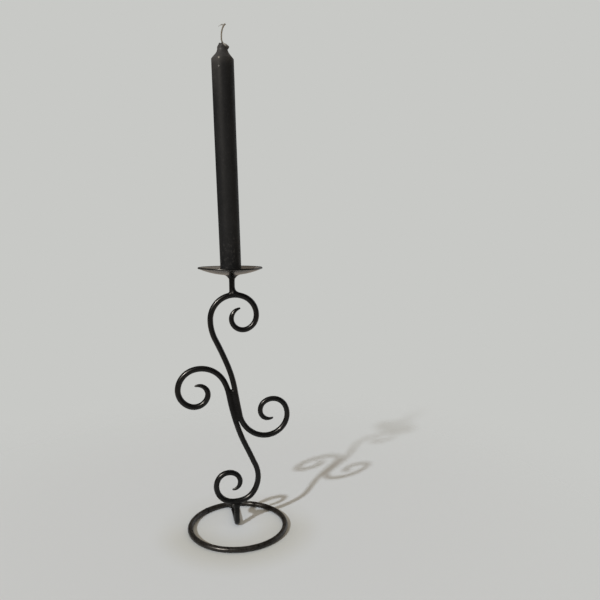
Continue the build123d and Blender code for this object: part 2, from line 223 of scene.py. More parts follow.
def surface_nets(field, lo, hi, step):
    """Closed quad mesh of field = 0 (inside is negative), with its points
    moved onto the surface afterwards."""
    lo, hi = np.array(lo, float), np.array(hi, float)
    n = np.ceil((hi - lo) / step).astype(int) + 1
    ax = [lo[i] + step * np.arange(n[i]) for i in range(3)]
    G = np.stack(np.meshgrid(*ax, indexing="ij"), -1).reshape(-1, 3)
    F = np.concatenate([field(G[i:i + 400000]) for i in range(0, len(G), 400000)]).reshape(n)
    F[0], F[-1], F[:, 0], F[:, -1], F[:, :, 0], F[:, :, -1] = 1, 1, 1, 1, 1, 1
    s = F < 0
    c = [F[i:n[0] - 1 + i, j:n[1] - 1 + j, k:n[2] - 1 + k] for i in (0, 1) for j in (0, 1) for k in (0, 1)]
    off = [(i, j, k) for i in (0, 1) for j in (0, 1) for k in (0, 1)]
    neg = sum((q < 0).astype(int) for q in c)
    cell = (neg > 0) & (neg < 8)
    ids = -np.ones(cell.shape, int)
    where = np.argwhere(cell)
    ids[cell] = np.arange(len(where))
    acc, cnt = np.zeros((len(where), 3)), np.zeros(len(where))
    vals = [q[cell] for q in c]
    for a in range(8):
        for b in range(a + 1, 8):
            d = np.array(off[b]) - np.array(off[a])
            if np.abs(d).sum() != 1:
                continue
            fa, fb = vals[a], vals[b]
            m = (fa < 0) != (fb < 0)
            t = fa[m] / (fa[m] - fb[m])
            acc[m] += np.array(off[a]) + t[:, None] * d
            cnt[m] += 1
    V = lo + step * (where + acc / cnt[:, None])
    faces = []
    for axis in range(3):
        sl0 = [slice(1, -1)] * 3
        sl1 = [slice(1, -1)] * 3
        sl0[axis] = slice(0, -1)
        sl1[axis] = slice(1, None)
        a, b = s[tuple(sl0)], s[tuple(sl1)]
        e = np.argwhere(a != b)
        base = e + np.array([0 if i == axis else 1 for i in range(3)])
        u, v = (axis + 1) % 3, (axis + 2) % 3
        q = []
        for du, dv in ((-1, -1), (0, -1), (0, 0), (-1, 0)):
            k = base.copy()
            k[:, u] += du
            k[:, v] += dv
            q.append(ids[k[:, 0], k[:, 1], k[:, 2]])
        q = np.stack(q, 1)
        flip = ~a[e[:, 0], e[:, 1], e[:, 2]]
        q[flip] = q[flip][:, ::-1]
        faces.append(q)
    faces = np.vstack(faces)
    faces = faces[(faces >= 0).all(1)]
    h = 0.02
    for _ in range(3):
        f0 = field(V)
        g = np.stack([(field(V + np.eye(3)[i] * h) - field(V - np.eye(3)[i] * h)) / (2 * h) for i in range(3)], 1)
        g2 = np.maximum((g ** 2).sum(1), 0.05)
        stepv = -(f0 / g2)[:, None] * g
        ln = np.linalg.norm(stepv, axis=1)
        cap = np.minimum(1, 0.45 * step / np.maximum(ln, 1e-9))
        V = V + stepv * cap[:, None]
    return V, faces


def smin(a, b, k):
    k = np.maximum(k, 1e-6)
    h = np.clip(0.5 + 0.5 * (b - a) / k, 0, 1)
    return b * (1 - h) + a * h - k * h * (1 - h)


def fillet(a, b, k, p, seed, rough=0.10, sink=0.10):
    """The smooth union of two bars' fields a and b, sunk a little below both
    of them where the weld ends; lumps only where there is weld."""
    kk = np.maximum(k, 1e-6)
    h = np.clip(0.5 + 0.5 * (b - a) / kk, 0, 1)
    f = b * (1 - h) + a * h - kk * h * (1 - h)
    mask = 4 * h * (1 - h)
    lump = rough * (noise(p, 2.6, seed) + 0.5 * noise(p, 1.3, seed + 1))
    return f + lump * mask + sink * smooth(0.88, 1.12, np.abs(a - b) / kk)


def bar_field(p, ch, r, keep=None):
    d = plane_dist(ch, p[:, 0], p[:, 2], keep)
    return np.sqrt(d ** 2 + (p[:, 1] - PLANE_Y) ** 2) - r + forged(p)


# ------------------------------------------------------------ bars' meshes
def scroll(name, ch, total, r_full, taper0, taper1, seed, nseg=36, step=0.75):
    """taper0 and taper1: (distance from that end, radius)."""
    e = 0.9
    phi = np.linspace(0, math.pi / 2, 9)
    head = e * (1 - np.cos(phi))
    tail_d = np.unique(np.concatenate([head, np.arange(e, 22, 0.45)]))
    mid = np.linspace(22, total - 22, int((total - 44) / step))[1:-1]
    d = np.concatenate([tail_d, mid, (total - tail_d)[::-1]])
    d = np.unique(np.round(d, 6))
    x, z, h = along(ch, d)
    P = np.stack([x, np.full_like(x, PLANE_Y), z], 1)
    A = np.stack([-np.sin(h), np.zeros_like(h), np.cos(h)], 1)
    B = np.tile([0.0, 1.0, 0.0], (len(d), 1))
    t0, t1 = np.array(taper0), np.array(taper1)
    R = np.minimum(np.interp(d, t0[:, 0], t0[:, 1]), np.interp(total - d, t1[:, 0], t1[:, 1]))
    end = np.minimum(d, total - d)
    R = R * np.where(end < e, np.sqrt(np.maximum(0, 1 - ((e - end) / e) ** 2)), 1.0)
    R = np.maximum(R, 0.004)
    # the drawn-out ends were hammered: flats, a faint square section
    amt = 0.055 * (1 - smooth(9, 30, end))

    def shape(th):
        ph = 0.5 * noise(np.stack([d, 0 * d, 0 * d], 1), 6.0, seed)
        return 1 - amt[:, None] * (0.5 - 0.5 * np.cos(4 * (th[None, :] + ph[:, None])))
    v, f = tube(P, A, B, R, nseg, shape=shape)
    # the forged surface
    c = np.repeat(P, nseg, 0)
    n = v[:len(c)] - c
    ln = np.maximum(np.linalg.norm(n, axis=1), 1e-9)
    k = np.minimum(1, ln / 2.5)
    v[:len(c)] -= n / ln[:, None] * (forged(v[:len(c)]) * k)[:, None]
    return make(name, v, f)


def piece(ob, node, body, mat):
    ob.data.materials.clear()
    ob.data.materials.append(mat)
    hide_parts(node)
    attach(ob, body)
    return ob


# ---------------------------------------------------------------- materials
class Nodes:
    def __init__(self, name):
        self.mat = bpy.data.materials.new(name)
        self.mat.use_nodes = True
        self.t = self.mat.node_tree
        for n in list(self.t.nodes):
            self.t.nodes.remove(n)
        self.out = self.t.nodes.new("ShaderNodeOutputMaterial")
        self.bsdf = self.t.nodes.new("ShaderNodeBsdfPrincipled")
        self.t.links.new(self.bsdf.outputs[0], self.out.inputs[0])
        self.co = self.t.nodes.new("ShaderNodeTexCoord").outputs["Object"]

    def new(self, kind, **kw):
        n = self.t.nodes.new(kind)
        for k, v in kw.items():
            setattr(n, k, v)
        return n

    def link(self, a, b):
        self.t.links.new(a, b)

    def put(self, sock, v):
        if hasattr(v, "links"):
            self.link(v, sock)
        else:
            sock.default_value = v

    def scaled(self, s):
        m = self.new("ShaderNodeMapping")
        m.inputs["Scale"].default_value = s
        self.link(self.co, m.inputs["Vector"])
        return m.outputs[0]

    def noise(self, scale, detail=3.0, rough=0.55, vec=None, distort=0.0):
        n = self.new("ShaderNodeTexNoise")
        n.inputs["Scale"].default_value = scale
        n.inputs["Detail"].default_value = detail
        n.inputs["Roughness"].default_value = rough
        n.inputs["Distortion"].default_value = distort
        self.link(vec if vec is not None else self.co, n.inputs["Vector"])
        return n.outputs["Fac"]

    def voronoi(self, scale, vec=None, feature="F1"):
        n = self.new("ShaderNodeTexVoronoi", feature=feature)
        n.inputs["Scale"].default_value = scale
        self.link(vec if vec is not None else self.co, n.inputs["Vector"])
        return n.outputs["Distance"]

    def ramp(self, v, a, b, lo=0.0, hi=1.0):
        n = self.new("ShaderNodeMapRange", interpolation_type="SMOOTHSTEP")
        n.inputs["From Min"].default_value = a
        n.inputs["From Max"].default_value = b
        n.inputs["To Min"].default_value = lo
        n.inputs["To Max"].default_value = hi
        self.put(n.inputs["Value"], v)
        return n.outputs[0]

    def math(self, op, a, b=0.0, clamp=False):
        n = self.new("ShaderNodeMath", operation=op, use_clamp=clamp)
        self.put(n.inputs[0], a)
        self.put(n.inputs[1], b)
        return n.outputs[0]

    def mix(self, f, a, b):
        n = self.new("ShaderNodeMix", data_type="RGBA")
        self.put(n.inputs["Factor"], f)
        self.put(n.inputs["A"], a)
        self.put(n.inputs["B"], b)
        return n.outputs["Result"]

    def bump(self, height, distance, strength=1.0, normal=None):
        n = self.new("ShaderNodeBump")
        n.inputs["Strength"].default_value = strength
        n.inputs["Distance"].default_value = distance
        self.link(height, n.inputs["Height"])
        if normal is not None:
            self.link(normal, n.inputs["Normal"])
        return n.outputs[0]

    def normal_z(self):
        g = self.new("ShaderNodeNewGeometry")
        s = self.new("ShaderNodeSeparateXYZ")
        self.link(g.outputs["Normal"], s.inputs[0])
        return s.outputs[2]


def rgb(r, g, b):
    return (r, g, b, 1.0)


def paint(name, base=(0.0030, 0.0029, 0.0028), rough=(0.25, 0.34), dust=0.5, peel=0.000006, gloss=0.30, dish_painted_sheen=0.0):
    """Black paint over iron: slow tone changes, orange peel, fine pits, dust on what faces up, and in the pan's dish a
    painted sheen: a paler tone on its upward faces that stands in for their reflection."""
    m = Nodes(name)
    tone = m.noise(70.0, 4.0, 0.6)
    c0 = rgb(*[v * 0.75 for v in base])
    c1 = rgb(*[v * 1.7 for v in base])
    col = m.mix(m.ramp(tone, 0.35, 0.7), c0, c1)
    # dust settles on upward faces, in patches; in the dish, painted sheen adds a paler tone to the upward faces in
    # place of their reflection
    up = m.ramp(m.normal_z(), 0.15, 0.95)
    patch = m.ramp(m.noise(240.0, 5.0, 0.7), 0.42, 0.68)
    d = m.math("MULTIPLY", up, m.math("ADD", m.math("MULTIPLY", patch, 0.10 * dust), dish_painted_sheen))
    edge = 0.0
    if dish_painted_sheen > 0:
        # the painted sheen lies in the dish, not on its edge
        sep = m.new("ShaderNodeSeparateXYZ")
        m.link(m.co, sep.inputs[0])
        ex = m.math("SUBTRACT", sep.outputs[0], PAN_X * 0.001)
        ey = m.math("SUBTRACT", sep.outputs[1], PLANE_Y * 0.001)
        er = m.math("SQRT", m.math("ADD", m.math("MULTIPLY", ex, ex), m.math("MULTIPLY", ey, ey)))
        edge = m.ramp(er, 0.0328, 0.0333)
        d = m.math("MULTIPLY", d, m.math("SUBTRACT", 1.0, edge))
    # the dish's painted sheen is paler than the dust's colour
    col = m.mix(d, col, rgb(0.36, 0.315, 0.26) if dish_painted_sheen > 0 else rgb(0.26, 0.23, 0.19))
    # specks of lint
    specks = m.ramp(m.voronoi(420.0), 0.0, 0.085, 1.0, 0.0)
    keep = m.ramp(m.noise(60.0, 2.0), 0.52, 0.62)
    sp = m.math("MULTIPLY", m.math("MULTIPLY", specks, keep), 0.22 * dust)
    col = m.mix(sp, col, rgb(0.32, 0.29, 0.25))
    m.link(col, m.bsdf.inputs["Base Color"])
    ro = m.ramp(m.noise(150.0, 5.0, 0.65), 0.3, 0.72, rough[0], rough[1])
    ro = m.math("ADD", ro, m.math("MULTIPLY", d, 0.35 if dish_painted_sheen > 0 else 1.2), clamp=True)
    if dish_painted_sheen > 0:
        ro = m.math("ADD", ro, m.math("MULTIPLY", edge, 0.04), clamp=True)
    m.link(ro, m.bsdf.inputs["Roughness"])
    m.bsdf.inputs["IOR"].default_value = 1.5
    # faces that look straight up are dulled; in the dish only its edge is
    dull = m.ramp(m.normal_z(), 0.50, 0.80, 0.0, 0.93) if dish_painted_sheen > 0 else m.ramp(m.normal_z(), 0.68, 0.94, 0.0, 0.75)
    if dish_painted_sheen > 0:
        dull = m.math("MULTIPLY", dull, edge)
    m.link(m.math("MULTIPLY", m.math("SUBTRACT", 1.0, dull), gloss), m.bsdf.inputs["Specular IOR Level"])
    n1 = m.bump(m.noise(900.0, 2.0, 0.5), peel, 1.0)
    n2 = m.bump(m.noise(260.0, 2.0, 0.5), peel * 2.2, 1.0, n1)
    n3 = m.bump(m.ramp(m.voronoi(1500.0), 0.0, 0.25), peel * 0.6, 1.0, n2)
    m.link(n3, m.bsdf.inputs["Normal"])
    return m.mat


IRON = paint("black_iron_paint")
RINGM = paint("ring_iron_paint", base=(0.0122, 0.0100, 0.0080), rough=(0.23, 0.34), dust=1.1, gloss=0.38)
WELD = paint("black_weld_paint", rough=(0.34, 0.46), peel=0.00001, gloss=0.20)
PANM = paint("pan_gloss_paint", rough=(0.20, 0.28), dust=0.8, peel=0.000003, gloss=0.46, dish_painted_sheen=0.42)


def steel():
    m = Nodes("spike_dull_steel")
    st = m.noise(300.0, 5.0, 0.7, m.scaled((6.0, 6.0, 0.6)))
    m.link(m.mix(m.ramp(st, 0.35, 0.7), rgb(0.10, 0.095, 0.09), rgb(0.26, 0.25, 0.235)), m.bsdf.inputs["Base Color"])
    m.bsdf.inputs["Metallic"].default_value = 1.0
    m.link(m.ramp(st, 0.3, 0.7, 0.32, 0.55), m.bsdf.inputs["Roughness"])
    m.link(m.bump(st, 0.00003), m.bsdf.inputs["Normal"])
    return m.mat


STEEL = steel()


def wax():
    m = Nodes("black_candle_wax")
    slow = m.noise(55.0, 3.0, 0.5, m.scaled((1.0, 1.0, 0.25)))
    base = m.mix(m.ramp(slow, 0.35, 0.7), rgb(0.0130, 0.0127, 0.0125), rgb(0.0195, 0.0187, 0.0180))
    # faint lengthwise scuffs
    scuff = m.ramp(m.noise(420.0, 4.0, 0.7, m.scaled((1.6, 1.6, 0.10))), 0.55, 0.78)
    base = m.mix(m.math("MULTIPLY", scuff, 0.10), base, rgb(0.075, 0.066, 0.058))
    # bloom, thicker near the foot
    sep = m.new("ShaderNodeSeparateXYZ")
    m.link(m.co, sep.inputs[0])
    low = m.ramp(sep.outputs[2], 0.300, 0.345, 1.0, 0.18)
    bloom = m.ramp(m.noise(330.0, 6.0, 0.75), 0.50, 0.72)
    base = m.mix(m.math("MULTIPLY", m.math("MULTIPLY", bloom, low), 0.30), base, rgb(0.20, 0.18, 0.16))
    # painted light: the wax near the shoulder is paler on its left, the side the key lights
    across = m.math("SUBTRACT", m.math("MULTIPLY", m.math("ADD", sep.outputs[0], 0.0064), QX), m.math("MULTIPLY", m.math("SUBTRACT", sep.outputs[1], 0.0032), -QY))
    shoulder_painted_light = m.math("MULTIPLY", m.ramp(sep.outputs[2], 0.458, 0.514), m.ramp(across, -0.0105, 0.0030, 1.0, 0.08))
    shoulder_painted_light = m.math("MULTIPLY", shoulder_painted_light, m.ramp(m.noise(240.0, 5.0, 0.7), 0.25, 0.65, 0.45, 1.0))
    base = m.mix(m.math("MULTIPLY", shoulder_painted_light, 0.55), base, rgb(0.095, 0.084, 0.073))
    # duller, paler wax on the shoulder and the neck; the extra paleness on the left is painted light on the lit side
    neck_pale_and_painted_light = m.math("MULTIPLY", m.ramp(sep.outputs[2], 0.5035, 0.5130), m.ramp(across, -0.0085, 0.0030, 0.84, 0.40))
    neck_pale_and_painted_light = m.math("MULTIPLY", neck_pale_and_painted_light, m.ramp(m.noise(300.0, 5.0, 0.7), 0.30, 0.62, 0.70, 1.0))
    base = m.mix(neck_pale_and_painted_light, base, rgb(0.094, 0.084, 0.075))
    # painted glints: three small pale spots where the key's highlight runs on the wax, in place of dents that catch the
    # light
    for cq, cz, cr, sharp, fill, tone in ((-2.33, 510.62, 11.47, 1.15, 1.0, (0.30, 0.262, 0.208)), (-2.62, 502.68, 11.46, 0.95, 0.75, (0.26, 0.24, 0.21)),
                                          (-1.32, 520.44, 5.50, 1.0, 0.45, (0.20, 0.18, 0.16))):
        cx, cy = axis_xy(cz)
        cw = math.sqrt(cr * cr - cq * cq)
        dist = m.new("ShaderNodeVectorMath", operation="DISTANCE")
        m.link(m.co, dist.inputs[0])
        dist.inputs[1].default_value = ((cx + cq * QX + cw * WX) * 0.001, (cy + cq * QY + cw * WY) * 0.001, cz * 0.001)
        painted_glint = m.ramp(dist.outputs["Value"], sharp * 0.00045, sharp * 0.001, fill, 0.0)
        base = m.mix(painted_glint, base, rgb(*tone))
    specks = m.ramp(m.voronoi(260.0), 0.0, 0.07, 1.0, 0.0)
    keep = m.ramp(m.noise(35.0, 2.0), 0.55, 0.66)
    base = m.mix(m.math("MULTIPLY", m.math("MULTIPLY", specks, keep), 0.45), base, rgb(0.24, 0.22, 0.20))
    att = m.new("ShaderNodeAttribute", attribute_name="broken")
    chip = m.mix(m.ramp(m.noise(700.0, 4.0, 0.7), 0.35, 0.7), rgb(0.19, 0.17, 0.145), rgb(0.50, 0.455, 0.385))
    col = m.mix(att.outputs["Fac"], base, chip)
    m.link(col, m.bsdf.inputs["Base Color"])
    ro = m.ramp(m.noise(90.0, 4.0, 0.6), 0.3, 0.7, 0.40, 0.56)
    m.link(m.math("ADD", ro, m.math("MULTIPLY", att.outputs["Fac"], 0.25), clamp=True), m.bsdf.inputs["Roughness"])
    m.bsdf.inputs["IOR"].default_value = 1.44
    m.bsdf.inputs["Specular IOR Level"].default_value = 0.11
    n1 = m.bump(m.noise(520.0, 4.0, 0.6, m.scaled((1.0, 1.0, 0.35))), 0.00003)
    n2 = m.bump(m.noise(120.0, 2.0, 0.5), 0.00006, 1.0, n1)
    m.link(n2, m.bsdf.inputs["Normal"])
    return m.mat


WAX = wax()


def cotton():
    m = Nodes("wick_cotton")
    fib = m.noise(2600.0, 4.0, 0.7)
    col = m.mix(m.ramp(fib, 0.3, 0.72), rgb(0.105, 0.080, 0.052), rgb(0.37, 0.315, 0.235))
    # painted shade in the grooves between the strands, from the wick's attribute
    att = m.new("ShaderNodeAttribute", attribute_name="painted_groove_shade")
    col = m.mix(att.outputs["Fac"], col, rgb(0.055, 0.038, 0.024))
    m.link(col, m.bsdf.inputs["Base Color"])
    m.bsdf.inputs["Roughness"].default_value = 0.8
    m.bsdf.inputs["Sheen Weight"].default_value = 0.3
    m.link(m.bump(fib, 0.00006), m.bsdf.inputs["Normal"])
    return m.mat


COTTON = cotton()

# -------------------------------------------------------------- the scrolls
T_TOP = [(0, 0.94), (1.5, 1.24), (4, 1.68), (7.5, 2.20), (12, 2.64), (17, 2.87), (34, 2.95), (60, 3.09), (95, 3.17), (200, 3.175)]
T_RIGHT = [(0, 0.94), (1.5, 1.24), (4, 1.68), (7.5, 2.22), (12, 2.70), (17, 2.92), (34, 2.99), (60, 3.11), (95, 3.17), (200, 3.175)]
T_LEFT = [(0, 0.92), (1.5, 1.24), (4, 1.72), (7.5, 2.28), (12, 2.82), (17, 3.12), (34, 3.27), (60, 3.30), (108, 3.30), (126, 3.18), (256, 3.18), (274, 3.30), (420, 3.30)]
T_LOW = [(0, 0.94), (1.5, 1.26), (4, 1.74), (7.5, 2.26), (12, 2.70), (17, 2.94), (34, 3.13), (60, 3.25), (95, 3.30), (420, 3.30)]
upper = scroll("upper_scroll_bar", UP_CH, UP_LEN, UP_R, T_TOP, T_RIGHT, 11)
piece(upper, "upper_scroll", "stand", IRON)
lower = scroll("lower_scroll_bar", LOW_CH, LOW_LEN, LOW_R, T_LEFT, T_LOW, 12)
piece(lower, "lower_scroll", "stand", IRON)


# ----------------------------------------------------------------- the leg
def leg_bar():
    y_end = math.sqrt((RING_R - 1.0) ** 2 - LEG_X ** 2)
    pts, a_, b_ = [], [], []
    for y in np.linspace(y_end, PLANE_Y + LEG_BEND, 120)[:-1]:
        pts.append((LEG_X, y, LEG_Z)); a_.append((0, 0, 1.0))
    for t in np.linspace(0, math.pi / 2, 16):
        pts.append((LEG_X, PLANE_Y + LEG_BEND * (1 - math.sin(t)), LEG_Z + LEG_BEND * (1 - math.cos(t))))
        a_.append((0, math.sin(t), math.cos(t)))
    for z in np.linspace(LEG_Z + LEG_BEND, LEG_TOP - 0.6, 34)[1:]:
        pts.append((LEG_X, PLANE_Y, z)); a_.append((0, 1.0, 0))
    P, A = np.array(pts), np.array(a_)
    B = np.tile([1.0, 0.0, 0.0], (len(P), 1))
    R = np.full(len(P), LEG_R)
    v, f = tube(P, A, B, R, 36)
    c = np.repeat(P, 36, 0)
    n = v[:len(c)] - c
    n /= np.linalg.norm(n, axis=1)[:, None]
    # a drop of spatter on the foot bar's left side
    drop = np.exp(-(((c[:, 1] - 36.9) / 0.85) ** 2) - ((n[:, 0] + 0.9) ** 2 + (n[:, 2] - 0.35) ** 2) / 0.12)
    v[:len(c)] += n * (1.0 * drop - forged(v[:len(c)]))[:, None]
    # the foot bar points a little to the left of straight back
    cs, sn = math.cos(LEG_YAW), math.sin(LEG_YAW)
    dx, dy = v[:, 0] - LEG_X, v[:, 1] - PLANE_Y
    v = np.stack([LEG_X + dx * cs - dy * sn, PLANE_Y + dx * sn + dy * cs, v[:, 2]], 1)
    return make("leg_bar", v, f)


piece(leg_bar(), "leg", "stand", IRON)


# ---------------------------------------------------------------- the ring
def hoop(name, a0, a1, n, r_of, nseg=36):
    az = np.linspace(a0, a1, n)
    P = np.stack([RING_R * np.cos(az), RING_R * np.sin(az), np.full(n, RING_Z)], 1)
    A = np.stack([np.cos(az), np.sin(az), 0 * az], 1)
    B = np.tile([0.0, 0.0, 1.0], (n, 1))
    R = r_of(az)
    v, f = tube(P, A, B, R, nseg)
    c = np.repeat(P, nseg, 0)
    d = v[:len(c)] - c
    d /= np.linalg.norm(d, axis=1)[:, None]
    v[:len(c)] -= d * forged(v[:len(c)])[:, None]
    v[:, 2] = np.maximum(v[:, 2], 0.0)
    return v, f


half = math.radians(0.8)
az0 = math.radians(BUTT_AZ)
v, f = hoop("base_ring", az0 + half * 0.6, az0 - half * 0.6 + 2 * math.pi, 460, lambda a: np.full(len(a), RING_BAR))
piece(make("base_ring_bar", v, f), "base_ring", "stand", RINGM)


def butt_r(a):
    t = (a - az0) / (half * 2.0)
    w = np.maximum(0.0, 1 - t ** 2)
    return RING_BAR + 0.34 * w ** 1.2 - 0.06 + 0.10 * noise(np.stack([a * 200, 0 * a, 0 * a], 1), 1.7, 4) * w


v, f = hoop("butt", az0 - half * 2.0, az0 + half * 2.0, 26, butt_r, 48)
c = np.array([RING_R * math.cos(az0), RING_R * math.sin(az0), RING_Z])
v[:-2] += (v[:-2] - c) * (0.018 * noise(v[:-2], 1.5, 9))[:, None]
v[:, 2] = np.maximum(v[:, 2], 0.0)
piece(make("ring_butt_bead", v, f), "ring_butt_weld", "stand", WELD)


# ---------------------------------------------------------------- the stem
def stem_bar():
    z = np.linspace(270.6, 292.9, 40)
    P = np.stack([np.full_like(z, STEM_X), np.full_like(z, PLANE_Y), z], 1)
    A = np.tile([1.0, 0, 0], (len(z), 1))
    B = np.tile([0, 1.0, 0], (len(z), 1))
    v, f = tube(P, A, B, np.full(len(z), STEM_R), 36)
    c = np.repeat(P, 36, 0)
    n = v[:len(c)] - c
    n /= np.linalg.norm(n, axis=1)[:, None]
    v[:len(c)] -= n * forged(v[:len(c)])[:, None]
    return make("stem_bar", v, f)


piece(stem_bar(), "stem", "stand", IRON)


# --------------------------------------------------------------- the welds
def near_z(lo, hi):
    def keep(g):
        return g["c"][1] - g["r"] < hi and g["c"][1] + g["r"] > lo
    return keep


def lap_field(p):
    a = bar_field(p, UP_CH, UP_R, near_z(110, 190))
    b = bar_field(p, LOW_CH, LOW_R, near_z(110, 190))
    s = smooth(LAP_Z[0] - 1.0, LAP_Z[0] + 3.0, p[:, 2]) * (1 - smooth(LAP_Z[1] - 3.0, LAP_Z[1] + 1.0, p[:, 2]))
    ripple = 0.05 * np.sin(p[:, 2] * 2 * math.pi / 2.3 + 1.4 * noise(p, 5.0, 21))
    k = 5.1 * s + 0.5 * noise(p, 7.0, 33) * s
    f = fillet(a, b, k, p, 31, rough=0.09)
    h = np.clip(0.5 + 0.5 * (b - a) / np.maximum(k, 1e-6), 0, 1)
    f = f + ripple * 4 * h * (1 - h)
    # only round the lap itself
    x = np.interp(p[:, 2], [128.8, 147.9, 167.0], [3.13, -1.26, -4.81])
    return np.maximum(f, np.abs(p[:, 0] - x) - 7.4)


for side, node, nm in ((-1, "weld_lap_front", "lap_bead_front"), (1, "weld_lap_back", "lap_bead_back")):
    def fld(p, side=side):
        return np.maximum(lap_field(p), -side * (p[:, 1] - PLANE_Y) - 0.05)
    y0, y1 = (PLANE_Y - 3.9, PLANE_Y + 0.5) if side < 0 else (PLANE_Y - 0.5, PLANE_Y + 3.9)
    v, f = surface_nets(fld, (-14.5, y0, LAP_Z[0] - 3), (11.5, y1, LAP_Z[1] + 3), 0.4)
    piece(make(nm, v, f), node, "stand", WELD)


def leg_scroll_field(p):
    a = np.maximum(np.hypot(p[:, 0] - LEG_X, p[:, 1] - PLANE_Y) - LEG_R, p[:, 2] - (LEG_TOP - 0.8)) + forged(p)
    a = a + 2.2 * np.maximum(p[:, 2] - 28.6, 0)
    b = bar_field(p, LOW_CH, LOW_R, near_z(0, 60))
    f = fillet(a, b, 6.6 + 2.6 * smooth(0.5, 4.0, LEG_X - p[:, 0]), p, 41, rough=0.10)
    q = np.sqrt(((p[:, 0] - LEG_X) / 12.5) ** 2 + ((p[:, 1] - PLANE_Y) / 8.0) ** 2 + ((p[:, 2] - 29.5) / 12.5) ** 2) - 1
    return np.maximum(f, q * 8)


v, f = surface_nets(leg_scroll_field, (-13.6, -3.9, 16), (11.8, 9.1, 38), 0.4)
piece(make("leg_scroll_bead", v, f), "weld_leg_scroll", "stand", WELD)


def stem_scroll_field(p):
    a = np.maximum(np.hypot(p[:, 0] - STEM_X, p[:, 1] - PLANE_Y) - STEM_R, (271.4) - p[:, 2]) + forged(p)
    a = a + 2.2 * np.maximum(273.6 - p[:, 2], 0)
    b = bar_field(p, UP_CH, UP_R, near_z(255, 290))
    f = fillet(a, b, 1.7 + 4.3 * smooth(-1.8, 2.0, p[:, 0] - STEM_X), p, 51, rough=0.10)
    q = np.sqrt(((p[:, 0] - STEM_X) / 11.0) ** 2 + ((p[:, 1] - PLANE_Y) / 8.0) ** 2 + ((p[:, 2] - 273.5) / 9.5) ** 2) - 1
    return np.maximum(f, q * 8)


v, f = surface_nets(stem_scroll_field, (-13.0, -3.9, 264), (10.5, 9.1, 284), 0.4)
piece(make("stem_scroll_bead", v, f), "weld_stem_scroll", "stand", WELD)


def stem_pan_field(p):
    a = np.hypot(p[:, 0] - STEM_X, p[:, 1] - PLANE_Y) - STEM_R + forged(p)
    d = np.sqrt((p[:, 0] - PAN_X) ** 2 + (p[:, 1] - PLANE_Y) ** 2 + (p[:, 2] - BALL_Z) ** 2)
    b = d - PAN_BALL
    # the weld runs down from the pan as a short cone
    cone = np.hypot(p[:, 0] - STEM_X, p[:, 1] - PLANE_Y) - np.interp(
        p[:, 2], [PAN_LOW - 5.1, PAN_LOW - 4.1, PAN_LOW - 1.3, PAN_LOW + 0.6], [2.90, 3.30, 5.65, 7.7])
    a = smin(a, np.maximum(cone * 0.75, (PAN_LOW - 6.0) - p[:, 2]), 0.8)
    f = fillet(a, b, np.full(len(p), 1.6), p, 61, rough=0.10)
    f = np.maximum(f, (PAN_BALL - 0.7) - d)
    q = np.sqrt(((p[:, 0] - STEM_X) / 11.5) ** 2 + ((p[:, 1] - PLANE_Y) / 11.5) ** 2 + ((p[:, 2] - 293.5) / 9.0) ** 2) - 1
    return np.maximum(f, q * 8)


v, f = surface_nets(stem_pan_field, (-14.0, -9.9, 283), (12.0, 15.1, 297), 0.45)
piece(make("stem_pan_bead", v, f), "weld_stem_pan", "stand", WELD)


def leg_ring_field(p):
    cs, sn = math.cos(LEG_YAW), math.sin(LEG_YAW)
    lx = (p[:, 0] - LEG_X) * cs + (p[:, 1] - PLANE_Y) * sn
    ly = (p[:, 1] - PLANE_Y) * cs - (p[:, 0] - LEG_X) * sn
    a = np.hypot(lx, p[:, 2] - LEG_Z) - LEG_R + forged(p)
    a = np.maximum(a, ly - (RING_R - PLANE_Y))
    rho = np.hypot(p[:, 0], p[:, 1])
    b = np.hypot(rho - RING_R, p[:, 2] - RING_Z) - RING_BAR + forged(p)
    f = fillet(a, b, np.full(len(p), 4.6), p, 71, rough=0.16)
    # the bead's blob on the left, a run on the ring, and a small one on the right
    for cx, cy, cz, r in ((-5.1, 49.2, 2.9, 2.0), (-7.6, 51.4, 4.0, 1.5), (2.2, 50.2, 4.1, 1.5)):
        d = np.sqrt((p[:, 0] - cx) ** 2 + (p[:, 1] - cy) ** 2 + (p[:, 2] - cz) ** 2) - r
        f = smin(f, d, 1.2)
    q = np.sqrt(((p[:, 0] + 1.6) / 11.0) ** 2 + ((p[:, 1] - 50.5) / 7.5) ** 2 + ((p[:, 2] - 3.0) / 7.0) ** 2) - 1
    f = np.maximum(f, q * 6)
    return np.maximum(f, 0.03 - p[:, 2])


v, f = surface_nets(leg_ring_field, (-14.0, 42, -1.0), (10.5, 59.5, 10.0), 0.4)
v[:, 1] = np.minimum(v[:, 1], 57.9)
v[:, 2] = np.maximum(v[:, 2], 0.0)
piece(make("leg_ring_bead", v, f), "weld_leg_ring", "stand", WELD)


# ----------------------------------------------------------------- the pan
def lathe(profile, cx, cy, nseg, closed=True):
    pr = np.asarray(profile, float)
    th = np.arange(nseg) / nseg * 2 * math.pi
    V = np.stack([cx + pr[:, None, 0] * np.cos(th)[None], cy + pr[:, None, 0] * np.sin(th)[None],
                  np.repeat(pr[:, 1:2], nseg, 1)], -1).reshape(-1, 3)
    n = len(pr)
    idx = np.arange(n * nseg).reshape(n, nseg)
    rows = n if closed else n - 1
    a, b = idx[:rows], idx[(np.arange(rows) + 1) % n]
    f = np.stack([a, np.roll(a, -1, 1), np.roll(b, -1, 1), b], -1).reshape(-1, 4)
    return V, f


